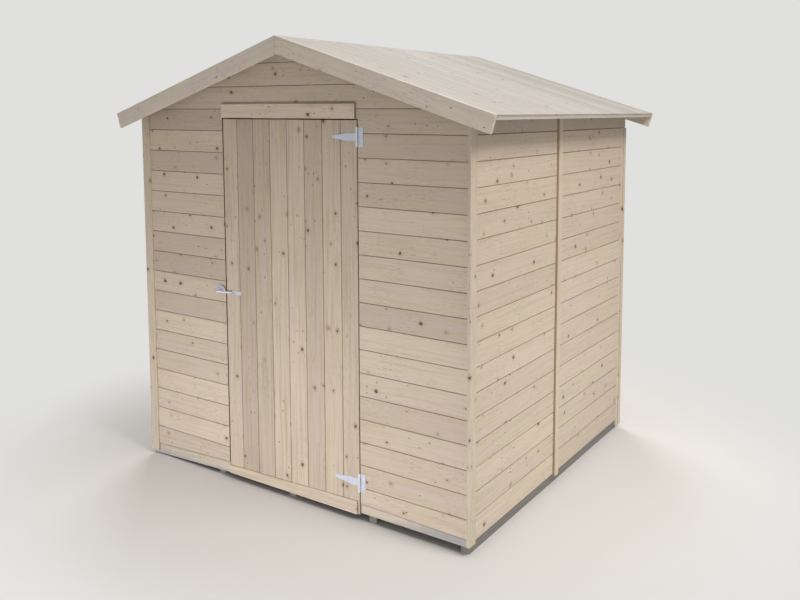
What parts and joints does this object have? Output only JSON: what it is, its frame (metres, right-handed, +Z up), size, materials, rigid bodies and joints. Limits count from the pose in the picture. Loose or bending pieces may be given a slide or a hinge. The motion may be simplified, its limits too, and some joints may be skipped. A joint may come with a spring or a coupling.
{
  "type": "wooden garden shed",
  "caption": "Wooden garden shed with an apex roof, shiplap walls, a boarded front door on T hinges and a hasp and staple, hollow inside with a floor.",
  "frame": {"origin": "on the ground, under the middle of the four walls", "axes": "+X to the right across the front, +Y from the front to the back, +Z up; the door is in the -Y wall"},
  "size_m": [2.392, 1.96, 2.306],
  "materials": {
    "cladding": "unpainted softwood shiplap boards, faintly grained and knotted",
    "framing": "sawn softwood battens",
    "floor": "sawn softwood, slightly grey",
    "roof_boards": "bare boards, weathered pale grey",
    "trim": "planed softwood, a little greyer than the walls",
    "door": "upright softwood boards with knots",
    "ironwork": "zinc plated steel, dull"
  },
  "bodies": {
    "shed": {"floor_bearers": "floor", "floor_boards": "floor", "front_wall_left": "cladding", "front_wall_right": "cladding", "front_gable": "cladding", "back_wall_left": "cladding", "back_wall_right": "cladding", "left_wall_front": "cladding", "left_wall_rear": "cladding", "right_wall_front": "cladding", "right_wall_rear": "cladding", "side_top_boards": "cladding", "left_studs": "framing", "left_rails": "framing", "right_studs": "framing", "right_rails": "framing", "gable_rafters": "framing", "front_posts": "framing", "front_rails": "framing", "back_posts": "framing", "back_rails": "framing", "ridge_beam": "framing", "purlins": "framing", "roof_left": "roof_boards", "roof_right": "roof_boards", "eaves_strips": "roof_boards", "barge_front_left": "trim", "barge_front_right": "trim", "barge_back_left": "trim", "barge_back_right": "trim", "corner_battens": "trim", "cover_battens": "trim", "door_header": "trim", "base_strips": "trim", "door_stops": "framing", "hinge_plates": "ironwork", "hinge_pins": "ironwork", "staple": "ironwork"},
    "door": {"door_boards": "door", "door_ledges": "door", "door_braces": "door", "door_kick_strip": "trim", "hinge_straps": "ironwork", "hasp_plate": "ironwork", "hasp_pin": "ironwork"},
    "hasp": {"hasp_leaf": "ironwork"}
  },
  "joints": [
    {"name": "door_swing", "type": "hinge", "parent": "shed", "child": "door", "pos_m": [0.447, -0.916, 0], "axis": [0, 0, 1], "range_deg": [0, 125]},
    {"name": "hasp_fold", "type": "hinge", "parent": "door", "child": "hasp", "pos_m": [-0.372, -0.914, 0], "axis": [0, 0, 1], "range_deg": [0, 135]}
  ]
}
